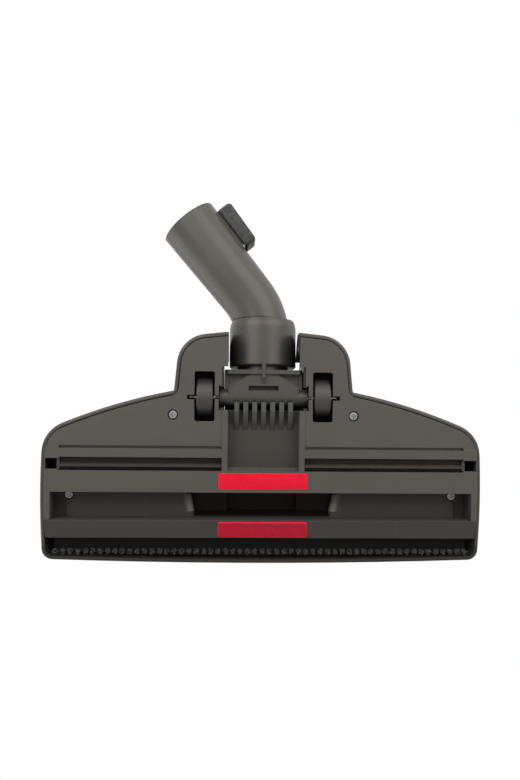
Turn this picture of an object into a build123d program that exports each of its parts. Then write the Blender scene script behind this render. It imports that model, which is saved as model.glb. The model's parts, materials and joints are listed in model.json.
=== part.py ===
import os
from math import cos, radians, sin, tan

from build123d import *

# Vacuum floor head: sole down on the floor at z = 0, front at -Y, neck at +Y, millimetres.
# The origin is on the floor under the middle of the suction mouth.

os.makedirs("parts", exist_ok=True)

# Head outline, right half seen from above
half_width = 140.2
front_y = -36.5
front_side = (138.4, -34.1)
side_mid_y = 10.0
rear_corner = (139.0, 46.4)
rear_edge_mid = (97.0, 62.7)
ear_root = (57.0, 72.8)
ear_corner = (53.8, 107.2)
ear_tip_y = 110.5
front_corner_r = 7.0
rear_corner_r = 21.0
ear_corner_r = 20.0
ear_root_r = 3.0

# Top housing
wall = 2.4
rim_z = 3.2
crown_r = 1000.0
crown_y = 60.0
crown_z = 33.0
body_edge_r = 7.0
pod_front_half = 37.0
pod_front_y = -33.0
pod_spine = [
    (-34.0, 17.0), (-22.0, 33.0), (6.0, 43.0), (40.0, 47.5), (70.0, 45.5), (96.0, 34.0), (113.0, 19.0),
]
pod_edge_r = 6.0
roof_edge_y = 50.0
rim_round = 1.5
boss_r = 3.6

# Axle line, shared by the wheels and the neck hinge
axle_y = 68.7
axle_z = 12.5
pin_r = 1.25
pin_in = 17.5
pin_out = 47.8
wheel_r = 12.5
wheel_width = 10.5
wheel_x = 37.5

# Sole plate
sole_gap = 0.6
wing_z = 1.6
bar_z = 0.8
front_tilt = 10.0
sole_top = 4.4
channel_half_x = 133.2
channel_half_y = 8.7
ceiling_z = 14.0
ceiling_end_x = 126.0
skin = 2.0
front_bar_y = -20.3
rear_bar_y = 22.2
slot_rear_y = 30.6
slot_in_x = 26.2
slot_out_x = 128.0
notch_out_x = 136.4
band_y = 37.0
groove_wide = 1.6
groove_deep = 2.0
panel_half_x = 22.6
panel_z = 8.5
panel_rear_y = 60.6
comb_front_y = 47.8
comb_tip_y = (60.0, 66.0)
comb_tip_z = 2.6
comb_count = 7
comb_pitch = 5.7
comb_thick = 3.0
mouth_rear_half = 49.0
mouth_front_half = 45.6
mouth_round = 4.0
mouth_bead = 1.2
mouth_bead_room = 2.2
gap_half_x = 26.5
gap_rear_half_x = 22.7
housing_gap = 25.6
gap_step_y = 88.4
gap_lip = 3.0
gap_lip_z = 32.0
roof_lip_y = 48.8
gap_barrel_y = 76.2
gap_wall_y = 46.0
pocket_width = 12.8
pocket_length = 31.6
saddle_top = 15.0
lint_half_x = 28.3
lint_depth = 10.4
lint_rear_y = 15.9
lint_front_y = -14.7
lint_bed = 0.4

# Neck: barrel on the axle, drum round it, collar behind
neck_tilt = 5.0
neck_rise = 14.3
barrel_r = 5.8
barrel_half = 28.2
drum_half = 25.0
drum_r = 33.0
drum_wall = 2.0
flange_s = 14.6
flange_thick = 2.7
flange_top = 33.5
flange_bottom = -7.4
neck_bore_r = 15.5
neck_wall = 1.6
collar_start = 20.6
collar_end = 51.9
collar_r = 22.2
collar_bore_r = 20.2
collar_taper = (1.3, 6.0)
spigot_r = 19.2

# Underside of the neck, right half: (across, along the neck from the axle)
stiffener_plan = [(22.6, 0.0), (22.6, 5.4), (8.7, flange_s)]
stiffener_thick = 4.0
stiffener_slot_s = 5.6
stiffener_slot = (19.2, 3.0)
stiffener_slot_deep = 6.8
neck_pocket = [(23.0, 7.2), (23.0, 13.9), (12.0, 13.9)]
neck_pocket_deep = 4.2
neck_rib_s = (8.2, 12.6)
neck_rib_proud = 0.5
neck_rib_thick = 2.4

# Swivel: land on the spigot, seal groove and retaining ring, along the collar's axis
land_r = 20.1
seal_s = 31.0
seal_r = 18.6
seal_wide = 2.0
ring_s = 40.0
ring_groove_r = 20.9
ring_thick = 2.0
land_start = 27.0

# Air duct
duct_hood_half = 51.0
duct_hood_top = 25.0
duct_hood_taper = 20.0
duct_top = 30.0
gasket_gap = 0.3
gasket_thick = 1.7

# Elbow tube
bend_deg = 38.7
bend_r = 50.0
vertex_s = 56.6
vertex_to_mouth = 81.4
elbow_r = 18.05
mouth_r = 19.85
socket_r = 17.5
socket_depth = 40.0
spigot_short = 2.0
shoulder_gap = 0.3

# Latch: (outwards from the tube axis, along the tube from its mouth)
latch_axis = (21.6, -21.0)
latch_pin_r = 1.0
latch_half = 8.9
latch_seat_half = 7.5
latch_room = 23.3
latch_clear_r = 21.4
latch_body_half = 5.3
latch_nose_half = 2.7
latch_cap = [(18.0, -4.8), (28.2, -4.8), (29.6, -8.0), (27.8, -41.0), (18.0, -41.0)]
latch_room_ends = (-6.2, -39.6)
latch_edge_r = 1.2
latch_seat = [(16.0, -7.7), (22.6, -7.7), (22.6, -24.0), (20.4, -36.5), (16.0, -36.5)]
latch_body = [(20.3, -11.4), (23.6, -11.4), (23.6, -26.0), (20.3, -26.0)]
latch_nose = [(17.8, -11.5), (20.6, -11.5), (20.6, -14.7), (18.8, -14.7)]
latch_leaf = [
    (19.5, -33.5), (19.9, -33.5), (19.9, -28.2), (21.4, -27.2),
    (23.1, -32.0), (23.2, -31.9), (21.7, -26.8), (19.5, -27.8),
]

# Brush, drawn up inside the front wall
brush_z = 10.0
brush_half_x = 132.4
carrier_thick = 4.5
tuft_y = -29.0
strip_half_x = 131.2
strip_width = 2.8
strip_bed = 3.0
strip_proud = 1.0
tuft_r = 1.3
tuft_tip_z = 2.6
tuft_count = 57
end_tufts = 2
tuft_pitch = 4.64
tower_y = -24.3
tower_top = 24.0

# Screws and pedal
wing_screw = (57.3, 57.5)
channel_screw = (124.7, 5.0)
screw_r = 1.5
head_r = 3.0
head_thick = 1.9
wing_boss = 2.0
channel_seat = 2.0
pedal_half_x = 24.0
pedal_front_y = -14.0
pedal_rear_y = 28.0
pedal_axis = (10.0, 35.6)
pedal_front_z = 38.8
pedal_mid_z = 44.6
pedal_rear_z = 46.2
pedal_thick = 2.9
pedal_gap = 0.6
pedal_pin_r = 1.5
pedal_pin_half = 28.0
hub_r = 3.4

# Clearances of a pressed pin and of a running one, on the radius
press = 0.02
running = 0.06

# Heights where the housing's screw bosses meet the sole plate
wing_boss_z = sole_top + wing_boss
channel_boss_z = ceiling_z + channel_seat + skin

tall = 80.0


def on_axle(s, h):
    """Point of the neck in (Y, Z): s along the tilted neck from the axle, h above it."""
    a = radians(neck_tilt)
    return (axle_y + s * cos(a) - h * sin(a), axle_z + s * sin(a) + h * cos(a))


def on_drum(r, angle):
    """Point in (Y, Z) at radius r round the axle, angle counted from the neck's own direction."""
    return on_axle(r * cos(radians(angle)), r * sin(radians(angle)))


def front_face(y):
    """Height of the front bar's sloping face."""
    return bar_z + (-channel_half_y - y) * tan(radians(front_tilt))


def mirrored(points):
    """Right-hand points with their mirror images, as one closed run."""
    return list(points) + [(-x, y) for x, y in reversed(points)]


def head_plan(inset, ears):
    """Plan outline of the head, with or without the two ears, drawn in from the rim by inset."""
    with BuildSketch() as plan:
        with BuildLine():
            for side in (1, -1):
                ThreePointArc(
                    (side * front_side[0], front_side[1]),
                    (side * half_width, side_mid_y),
                    (side * rear_corner[0], rear_corner[1]),
                )
                ThreePointArc(
                    (side * rear_corner[0], rear_corner[1]),
                    (side * rear_edge_mid[0], rear_edge_mid[1]),
                    (side * ear_root[0], ear_root[1]),
                )
            ThreePointArc((-front_side[0], front_side[1]), (0, front_y), front_side)
            if ears:
                Polyline(ear_root, ear_corner, (gap_rear_half_x, ear_tip_y), (-gap_rear_half_x, ear_tip_y),
                         (-ear_corner[0], ear_corner[1]), (-ear_root[0], ear_root[1]))
            else:
                Line(ear_root, (-ear_root[0], ear_root[1]))
        make_face()
        rounding = [(front_side, front_corner_r), (rear_corner, rear_corner_r)]
        if ears:
            rounding += [(ear_corner, ear_corner_r), (ear_root, ear_root_r)]
        for (x, y), radius in rounding:
            for side in (1, -1):
                fillet(plan.vertices().sort_by_distance((side * x, y, 0))[0], radius)
        if inset:
            offset(amount=-inset, kind=Kind.INTERSECTION)
    # the drawn-in outline, drawn again with true arcs and lines
    with BuildSketch() as outline:
        with BuildLine():
            for edge in plan.edges():
                if edge.geom_type == GeomType.LINE:
                    Line(edge @ 0, edge @ 1)
                else:
                    ThreePointArc(edge @ 0, edge @ 0.5, edge @ 1)
        make_face()
    return outline.sketch


def body_form(inset):
    """Low crowned body across the full width, its walls and roof drawn in by inset."""
    plan = head_plan(inset, ears=False)
    with BuildPart() as form:
        with BuildSketch(Plane.XY.offset(rim_z)):
            add(plan)
        extrude(amount=tall)
        with Locations((0, crown_y, crown_z - crown_r)):
            Sphere(crown_r - inset, mode=Mode.INTERSECT)
        crown = form.faces().sort_by(Axis.Z)[-1]
        fillet(crown.edges(), body_edge_r - inset)
    return form.part


def pod_form(inset):
    """Raised middle of the housing with the two ears, drawn in by inset."""
    with BuildPart() as form:
        with BuildSketch(Plane.XY.offset(rim_z)) as plan:
            with BuildLine():
                Polyline(*mirrored([(pod_front_half, pod_front_y), ear_root, ear_corner,
                                    (gap_rear_half_x, ear_tip_y)]), close=True)
            make_face()
            for side in (1, -1):
                corner = (side * ear_corner[0], ear_corner[1], 0)
                fillet(plan.vertices().sort_by_distance(corner)[0], ear_corner_r)
            if inset:
                offset(amount=-inset, kind=Kind.INTERSECTION)
        extrude(amount=tall)
        with BuildSketch(Plane.YZ.offset(-tall)):
            with BuildLine():
                spine = [(y, z - inset) for y, z in pod_spine]
                Spline(*spine)
                Polyline(spine[-1], (spine[-1][0], 0), (spine[0][0], 0), spine[0])
            make_face()
        extrude(amount=2 * tall, mode=Mode.INTERSECT)
        roof = form.faces().sort_by(Axis.Z)[-1]
        roof_sides = roof.edges().filter_by(lambda e: abs(e.center().X) > gap_half_x)
        fillet(roof_sides, pod_edge_r - inset)
    return form.part


body_outer = body_form(0)
body_inner = body_form(wall)
pod_outer = pod_form(0)
pod_inner = pod_form(wall)

neck_axis = (0, cos(radians(neck_tilt)), sin(radians(neck_tilt)))
neck_up = (0, -sin(radians(neck_tilt)), cos(radians(neck_tilt)))
collar_foot = (0, *on_axle(0, neck_rise))
# Local X is the width and local Y runs along the neck: first at the axle, then on the collar's axis
neck_deck = Plane(origin=(0, axle_y, axle_z), x_dir=(1, 0, 0), z_dir=neck_up)
collar_deck = Plane(origin=collar_foot, x_dir=(1, 0, 0), z_dir=neck_up)
# Local Z runs along the collar's axis
collar_plane = Plane(origin=collar_foot, x_dir=(1, 0, 0), z_dir=neck_axis)
axle_line = Plane(origin=(0, axle_y, axle_z), x_dir=(0, 1, 0), z_dir=(1, 0, 0))
# Faces of the two bars that carry the lint strips
front_way = (0, sin(radians(front_tilt)), cos(radians(front_tilt)))
lint_faces = {
    "rear": Plane(origin=(0, lint_rear_y, bar_z)),
    "front": Plane(origin=(0, lint_front_y, front_face(lint_front_y)), x_dir=(1, 0, 0), z_dir=front_way),
}


# Top housing
with BuildPart() as hollow:
    add(body_inner)
    add(pod_inner)
    # the sole plate sits in the lower part, rounded where the ears begin
    for inset, top in ((wall, rim_z), (wall + sole_gap / 3, sole_top + sole_gap)):
        with BuildSketch(Plane.XY):
            add(head_plan(inset, ears=True))
        extrude(amount=top)
    # side walls of the neck gap stay, down to the sole plate
    with BuildSketch(Plane.XY.offset(sole_top + sole_gap)):
        for side in (1, -1):
            with BuildLine():
                Polyline((side * housing_gap, gap_wall_y), (side * (housing_gap + wall), gap_wall_y),
                         (side * (housing_gap + wall), gap_step_y + wall),
                         (side * (gap_rear_half_x + wall), gap_step_y + wall),
                         (side * (gap_rear_half_x + wall), ear_tip_y), (0, ear_tip_y),
                         (0, gap_step_y), (side * housing_gap, gap_step_y), close=True)
            make_face()
    extrude(amount=tall, mode=Mode.SUBTRACT)
    # lip under the roof's edge and lips over the gap's step stay
    with BuildSketch(Plane.XY.offset(gap_lip_z)):
        with Locations((0, roof_lip_y)):
            Rectangle(2 * housing_gap, wall, align=(Align.CENTER, Align.MAX))
        with Locations((0, gap_step_y)):
            Rectangle(2 * housing_gap, gap_lip, align=(Align.CENTER, Align.MAX))
    extrude(amount=tall, mode=Mode.SUBTRACT)
    # screw bosses stay, down to the faces they pull against
    for (x, y), foot in ((wing_screw, wing_boss_z), (channel_screw, channel_boss_z)):
        with BuildSketch(Plane.XY.offset(foot)):
            with Locations((x, y), (-x, y)):
                Circle(boss_r)
        extrude(amount=tall, mode=Mode.SUBTRACT)
    # brackets for the pedal pin stay
    with BuildSketch(Plane.XY.offset(pedal_axis[1] - hub_r)):
        bracket_x = pedal_pin_half - wall / 2
        with Locations((bracket_x, pedal_axis[0]), (-bracket_x, pedal_axis[0])):
            Rectangle(wall, 9)
    extrude(amount=tall, mode=Mode.SUBTRACT)

# What the rounding takes off the rim's outer edge
with BuildPart() as rim_solid:
    with BuildSketch(Plane.XY.offset(rim_z)):
        add(head_plan(0, ears=True))
    extrude(amount=wall * 2)
    fillet(rim_solid.faces().sort_by(Axis.Z)[0].edges(), rim_round)

with BuildPart() as rim_waste:
    with BuildSketch(Plane.XY.offset(rim_z)):
        Rectangle(4 * half_width, 4 * half_width)
    extrude(amount=rim_round)
    add(rim_solid.part, mode=Mode.SUBTRACT)

with BuildPart() as top_housing:
    add(body_outer)
    add(pod_outer)
    add(rim_waste.part, mode=Mode.SUBTRACT)
    add(hollow.part, mode=Mode.SUBTRACT)
    # neck gap: straight cut behind the roof edge, round seat for the drum under it
    for gap_end_y, top in ((gap_step_y - gap_lip, tall), (gap_step_y, gap_lip_z)):
        with BuildSketch(Plane.XY):
            with Locations((0, roof_edge_y)):
                Rectangle(2 * housing_gap, gap_end_y - roof_edge_y, align=(Align.CENTER, Align.MIN))
                Rectangle(2 * gap_rear_half_x, 2 * tall, align=(Align.CENTER, Align.MIN))
        extrude(amount=top, mode=Mode.SUBTRACT)
    with BuildSketch(axle_line):
        Circle(drum_r + 0.6)
    extrude(amount=housing_gap, both=True, mode=Mode.SUBTRACT)
    # room for the barrel ends, open below
    barrel_room = barrel_r + 0.8
    with BuildSketch(Plane.YZ):
        with Locations((axle_y, axle_z)):
            Circle(barrel_room)
            Rectangle(2 * barrel_room, 2 * axle_z, align=(Align.CENTER, Align.MAX))
    extrude(amount=housing_gap + wall + 1, both=True, mode=Mode.SUBTRACT)
    # pedal opening and its pin holes
    with BuildSketch(Plane.XY.offset(crown_z - 5)):
        with Locations((0, (pedal_front_y + pedal_rear_y) / 2)):
            RectangleRounded(2 * (pedal_half_x + pedal_gap), pedal_rear_y - pedal_front_y + 2 * pedal_gap, 3)
    extrude(amount=tall, mode=Mode.SUBTRACT)
    with BuildSketch(Plane.YZ):
        with Locations(pedal_axis):
            Circle(pedal_pin_r + press)
    extrude(amount=pedal_pin_half + press, both=True, mode=Mode.SUBTRACT)
    # pilot holes of the four screws
    for (x, y), foot, depth in ((wing_screw, wing_boss_z, 16), (channel_screw, channel_boss_z, 3)):
        with BuildSketch(Plane.XY.offset(foot)):
            with Locations((x, y), (-x, y)):
                Circle(screw_r + press)
        extrude(amount=depth, mode=Mode.SUBTRACT)

top_housing.part.label = "top_housing"
export_step(top_housing.part, "parts/top_housing.step")


# Rounded bead at one end of the suction mouth; its local X points away from the mouth, Y up
with BuildPart() as mouth_end:
    mouth_slant = mouth_front_half - mouth_rear_half
    mouth_edge = (mouth_front_half + mouth_rear_half) / 2 - mouth_bead_room
    with BuildSketch(Plane(origin=(mouth_edge, 0, ceiling_z), x_dir=(2 * channel_half_y, mouth_slant, 0),
                           z_dir=(mouth_slant, -2 * channel_half_y, 0))):
        with BuildLine():
            CenterArc((mouth_round, mouth_round), mouth_round, 180, 90)
            Polyline((mouth_round, 0), (mouth_round + 1, 0), (mouth_round + 1, skin), (mouth_bead, skin),
                     (mouth_bead, mouth_round), (0, mouth_round))
        make_face()
    extrude(amount=2 * channel_half_y, both=True)
    Box(4 * half_width, 2 * channel_half_y + skin, tall, mode=Mode.INTERSECT)
    # above the ceiling it stays inside the hood
    with BuildSketch(Plane.XY.offset(ceiling_z + skin)):
        Rectangle(4 * half_width, 4 * channel_half_y)
        Rectangle(4 * half_width, 2 * (channel_half_y - mouth_bead), mode=Mode.SUBTRACT)
    extrude(amount=mouth_round, mode=Mode.SUBTRACT)

# Sole plate
with BuildPart() as sole_plate:
    # wings and ears, then the lower runner area in front of the step line
    for level, rear_limit in ((wing_z, tall * 2), (bar_z, band_y)):
        with BuildSketch(Plane.XY.offset(level)):
            add(head_plan(wall + sole_gap, ears=True))
            with Locations((0, front_bar_y)):
                Rectangle(3 * half_width, rear_limit - front_bar_y, align=(Align.CENTER, Align.MIN),
                          mode=Mode.INTERSECT)
        extrude(amount=sole_top - level)
    # groove along the step line
    with BuildSketch(Plane.XY):
        for side in (1, -1):
            with Locations((side * (slot_in_x + slot_out_x) / 2, band_y)):
                Rectangle(slot_out_x - slot_in_x, groove_wide)
    extrude(amount=wing_z + groove_deep, mode=Mode.SUBTRACT)
    # suction channel trough, a step deeper at both ends
    with BuildSketch(Plane.XY.offset(bar_z)):
        Rectangle(2 * (channel_half_x + skin), 2 * (channel_half_y + skin))
    extrude(amount=ceiling_z + skin - bar_z)
    with BuildSketch(Plane.XY.offset(ceiling_z + skin)):
        for side in (1, -1):
            with Locations((side * (ceiling_end_x + channel_half_x) / 2, 0)):
                Rectangle(channel_half_x - ceiling_end_x + 2 * skin, 2 * (channel_half_y + skin))
    extrude(amount=skin)
    with BuildSketch(Plane.XY):
        Rectangle(2 * channel_half_x, 2 * channel_half_y)
    extrude(amount=ceiling_z, mode=Mode.SUBTRACT)
    with BuildSketch(Plane.XY.offset(ceiling_z)):
        for side in (1, -1):
            with Locations((side * (ceiling_end_x + channel_half_x) / 2, 0)):
                Rectangle(channel_half_x - ceiling_end_x, 2 * channel_half_y)
    extrude(amount=skin, mode=Mode.SUBTRACT)
    # suction mouth through the ceiling, with a bead along both ends
    with BuildSketch(Plane.XY.offset(ceiling_z)):
        cut_in = mouth_bead_room - mouth_round - 0.3
        Polygon(*mirrored([(mouth_front_half - cut_in, -channel_half_y),
                           (mouth_rear_half - cut_in, channel_half_y)]), align=None)
    extrude(amount=skin, mode=Mode.SUBTRACT)
    add(mouth_end.part)
    mirror(mouth_end.part, about=Plane.YZ)
    # stiffening wall at the front bar's front edge
    with BuildSketch(Plane.XY.offset(sole_top)):
        with Locations((0, front_bar_y)):
            Rectangle(2 * slot_out_x, skin, align=(Align.CENTER, Align.MIN))
    extrude(amount=4)
    # two rear slots with closed pockets above, and the side notches
    for side in (1, -1):
        middle = (side * (slot_in_x + slot_out_x) / 2, (rear_bar_y + slot_rear_y) / 2)
        with BuildSketch(Plane.XY.offset(sole_top)):
            with Locations(middle):
                Rectangle(slot_out_x - slot_in_x + 2 * skin, slot_rear_y - rear_bar_y + 2 * skin)
        extrude(amount=6)
        with BuildSketch(Plane.XY):
            with Locations(middle):
                Rectangle(slot_out_x - slot_in_x, slot_rear_y - rear_bar_y)
        extrude(amount=sole_top + 4, mode=Mode.SUBTRACT)
        with BuildSketch(Plane.XY):
            with Locations((side * (slot_out_x + 2 * skin), middle[1])):
                Rectangle(2 * (notch_out_x - slot_out_x - 2 * skin), slot_rear_y - rear_bar_y - 1.6)
        extrude(amount=sole_top, mode=Mode.SUBTRACT)
    # recessed centre panel between two side walls
    for half, level, top in ((slot_in_x, bar_z, sole_top), (housing_gap - sole_gap, sole_top, panel_z + skin)):
        with BuildSketch(Plane.XY.offset(level)):
            with Locations((0, rear_bar_y)):
                Rectangle(2 * half, panel_rear_y - rear_bar_y, align=(Align.CENTER, Align.MIN))
        extrude(amount=top - level)
    with BuildSketch(Plane.XY):
        with Locations((0, rear_bar_y)):
            Rectangle(2 * panel_half_x, 40, align=(Align.CENTER, Align.MIN))
    extrude(amount=panel_z, mode=Mode.SUBTRACT)
    with BuildSketch(Plane.XY.offset(sole_top)):
        with Locations((0, channel_half_y)):
            Rectangle(2 * slot_in_x, rear_bar_y - channel_half_y + skin, align=(Align.CENTER, Align.MIN))
    extrude(amount=panel_z + skin - sole_top)
    # neck gap, wide for the drum and narrow between the ear tips
    with BuildSketch(Plane.XY):
        with Locations((0, panel_rear_y)):
            Rectangle(2 * (barrel_half + 0.4), gap_barrel_y - panel_rear_y, align=(Align.CENTER, Align.MIN))
            Rectangle(2 * gap_half_x, gap_step_y - panel_rear_y, align=(Align.CENTER, Align.MIN))
            Rectangle(2 * gap_rear_half_x, tall, align=(Align.CENTER, Align.MIN))
    extrude(amount=tall, mode=Mode.SUBTRACT)
    # comb ribs under the panel, close to the barrel
    for i in range(comb_count):
        with BuildSketch(Plane.YZ.offset((i - (comb_count - 1) / 2) * comb_pitch)):
            with BuildLine():
                Polyline((comb_front_y, panel_z), (comb_tip_y[0], comb_tip_z), (comb_tip_y[1], comb_tip_z),
                         (comb_tip_y[1], panel_z + skin), (comb_front_y, panel_z + skin), close=True)
            make_face()
            with Locations((axle_y, axle_z)):
                Circle(barrel_r + 0.4, mode=Mode.SUBTRACT)
        extrude(amount=comb_thick / 2, both=True)
    # wheel pockets with axle saddles on both sides
    for side in (1, -1):
        with BuildSketch(Plane.XY.offset(wing_z)):
            with Locations((side * (barrel_half + pin_out + 1.4) / 2, axle_y)):
                Rectangle(pin_out - barrel_half + 0.6, 12)
        extrude(amount=saddle_top - wing_z)
        with BuildSketch(Plane.XY) as pocket:
            with Locations((side * wheel_x, axle_y + 0.6)):
                Rectangle(pocket_width, pocket_length)
            fillet(pocket.vertices(), 1.5)
        extrude(amount=tall, mode=Mode.SUBTRACT)
        with BuildSketch(Plane.XY):
            with Locations((side * (wheel_x + 8), axle_y)):
                Rectangle(6, 2 * pin_r + 0.3)
        extrude(amount=axle_z - 2.5, mode=Mode.SUBTRACT)
    with BuildSketch(Plane.YZ):
        with Locations((axle_y, axle_z)):
            Circle(pin_r + press)
            Rectangle(1.6 * pin_r, 2 * axle_z, align=(Align.CENTER, Align.MAX))
    extrude(amount=pin_out + press, both=True, mode=Mode.SUBTRACT)
    # screw seats
    with BuildSketch(Plane.XY.offset(sole_top)):
        with Locations(wing_screw, (-wing_screw[0], wing_screw[1])):
            Circle(head_r + 1.6)
    extrude(amount=wing_boss)
    with BuildSketch(Plane.XY.offset(ceiling_z + skin)):
        with Locations(channel_screw, (-channel_screw[0], channel_screw[1])):
            Circle(boss_r + 1.6)
    extrude(amount=channel_boss_z - ceiling_z - skin)
    for (x, y), seat in ((wing_screw, sole_top), (channel_screw, ceiling_z + channel_seat)):
        with BuildSketch(Plane.XY):
            with Locations((x, y), (-x, y)):
                Circle(head_r + 0.3)
        extrude(amount=seat, mode=Mode.SUBTRACT)
        with BuildSketch(Plane.XY):
            with Locations((x, y), (-x, y)):
                Circle(screw_r + 0.1)
        extrude(amount=seat + 5, mode=Mode.SUBTRACT)
    # the front bar's face slopes up towards the front
    with BuildSketch(Plane.YZ):
        Polygon((-channel_half_y, 0), (-channel_half_y, bar_z), (front_bar_y, front_face(front_bar_y)),
                (front_bar_y, 0), align=None)
    extrude(amount=half_width, both=True, mode=Mode.SUBTRACT)
    # shallow beds of the two lint strips
    for face in lint_faces.values():
        with BuildSketch(face.offset(-bar_z)):
            RectangleRounded(2 * lint_half_x, lint_depth, 1.5)
        extrude(amount=bar_z + lint_bed, mode=Mode.SUBTRACT)

sole_plate.part.label = "sole_plate"
export_step(sole_plate.part, "parts/sole_plate.step")


# Inner air duct: wide low hood over the mouth, narrower duct back to the drum
with BuildPart() as air_duct:
    with BuildSketch(Plane.XY.offset(ceiling_z + skin)):
        Rectangle(2 * duct_hood_half, 2 * (channel_half_y + skin))
    extrude(amount=duct_hood_top - ceiling_z - skin, taper=duct_hood_taper)
    with BuildSketch(Plane.XY.offset(panel_z + skin)):
        with Locations((0, -channel_half_y)):
            Rectangle(2 * drum_half, 60, align=(Align.CENTER, Align.MIN))
    extrude(amount=duct_top - panel_z - skin)
    with BuildSketch(Plane.XY):
        Rectangle(2 * duct_hood_half, 2 * (channel_half_y + skin))
    extrude(amount=ceiling_z + skin, mode=Mode.SUBTRACT)
    # air passage
    with BuildSketch(Plane.XY.offset(ceiling_z + skin)):
        Polygon(*mirrored([(mouth_front_half, -channel_half_y), (mouth_rear_half, channel_half_y)]),
                align=None)
    extrude(amount=duct_hood_top - ceiling_z - 2 * skin, taper=duct_hood_taper, mode=Mode.SUBTRACT)
    with BuildSketch(Plane.XY):
        with Locations((0, -channel_half_y + skin)):
            Rectangle(2 * (drum_half - drum_wall), tall, align=(Align.CENTER, Align.MIN))
    extrude(amount=duct_top - skin, mode=Mode.SUBTRACT)
    # round end against the drum, with room for the gasket
    with BuildSketch(axle_line):
        Circle(drum_r + gasket_gap + gasket_thick)
    extrude(amount=tall, both=True, mode=Mode.SUBTRACT)

air_duct.part.label = "air_duct"
export_step(air_duct.part, "parts/air_duct.step")

with BuildPart() as duct_gasket:
    with BuildSketch(Plane.XY.offset(panel_z + skin)):
        with Locations((0, 30)):
            Rectangle(2 * drum_half, 20, align=(Align.CENTER, Align.MIN))
    extrude(amount=duct_top - panel_z - skin)
    with BuildSketch(Plane.XY):
        Rectangle(2 * (drum_half - drum_wall), tall, align=(Align.CENTER, Align.MIN))
    extrude(amount=duct_top - skin, mode=Mode.SUBTRACT)
    with BuildSketch(axle_line):
        Circle(drum_r + gasket_gap + gasket_thick)
    extrude(amount=tall, both=True, mode=Mode.INTERSECT)
    with BuildSketch(axle_line):
        Circle(drum_r + gasket_gap)
    extrude(amount=tall, both=True, mode=Mode.SUBTRACT)

duct_gasket.part.label = "duct_gasket"
export_step(duct_gasket.part, "parts/duct_gasket.step")


# Lint strips
for place, face in lint_faces.items():
    with BuildPart() as lint_strip:
        with BuildSketch(face.offset(-bar_z)):
            RectangleRounded(2 * lint_half_x - 0.2, lint_depth - 0.2, 1.4)
        extrude(amount=bar_z + lint_bed)
    lint_strip.part.label = f"lint_strip_{place}"
    export_step(lint_strip.part, f"parts/lint_strip_{place}.step")


# Rear wipers: a foot in the slot's pocket and a leaning blade
for place, side in (("left", 1), ("right", -1)):
    with BuildPart() as wiper:
        with BuildSketch(Plane.YZ.offset(side * (slot_in_x + slot_out_x) / 2)):
            with BuildLine():
                roof = sole_top + 4
                Polyline((rear_bar_y + 0.2, roof), (slot_rear_y - 0.2, roof), (slot_rear_y - 0.2, roof - 2.4),
                         (rear_bar_y + 5.2, roof - 2.4), (rear_bar_y + 3.8, bar_z + 0.4),
                         (rear_bar_y + 2.4, bar_z + 0.4), (rear_bar_y + 2.6, roof - 2.4),
                         (rear_bar_y + 0.2, roof - 2.4), close=True)
            make_face()
        extrude(amount=(slot_out_x - slot_in_x) / 2 - 0.2, both=True)
    wiper.part.label = f"rear_wiper_{place}"
    export_step(wiper.part, f"parts/rear_wiper_{place}.step")


# Axle pins and wheels
for place, side in (("left", 1), ("right", -1)):
    with BuildPart() as axle_pin:
        with BuildSketch(axle_line.offset(side * (pin_in + pin_out) / 2)):
            Circle(pin_r)
        extrude(amount=(pin_out - pin_in) / 2, both=True)
        chamfer(axle_pin.edges().filter_by(GeomType.CIRCLE), 0.3)
    axle_pin.part.label = f"axle_pin_{place}"
    export_step(axle_pin.part, f"parts/axle_pin_{place}.step")

    with BuildPart() as wheel:
        hub = axle_line.offset(side * wheel_x)
        with BuildSketch(hub):
            Circle(wheel_r)
        extrude(amount=wheel_width / 2, both=True)
        fillet(wheel.edges().filter_by(GeomType.CIRCLE), 1.2)
        for face in (1, -1):
            with BuildSketch(hub.offset(face * wheel_width / 2)):
                Circle(wheel_r - 3.2)
                Circle(3.2, mode=Mode.SUBTRACT)
            extrude(amount=-face * 3, mode=Mode.SUBTRACT)
        with BuildSketch(hub):
            Circle(pin_r + running)
        extrude(amount=wheel_width, both=True, mode=Mode.SUBTRACT)
    wheel.part.label = f"wheel_{place}"
    export_step(wheel.part, f"parts/wheel_{place}.step")


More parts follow.
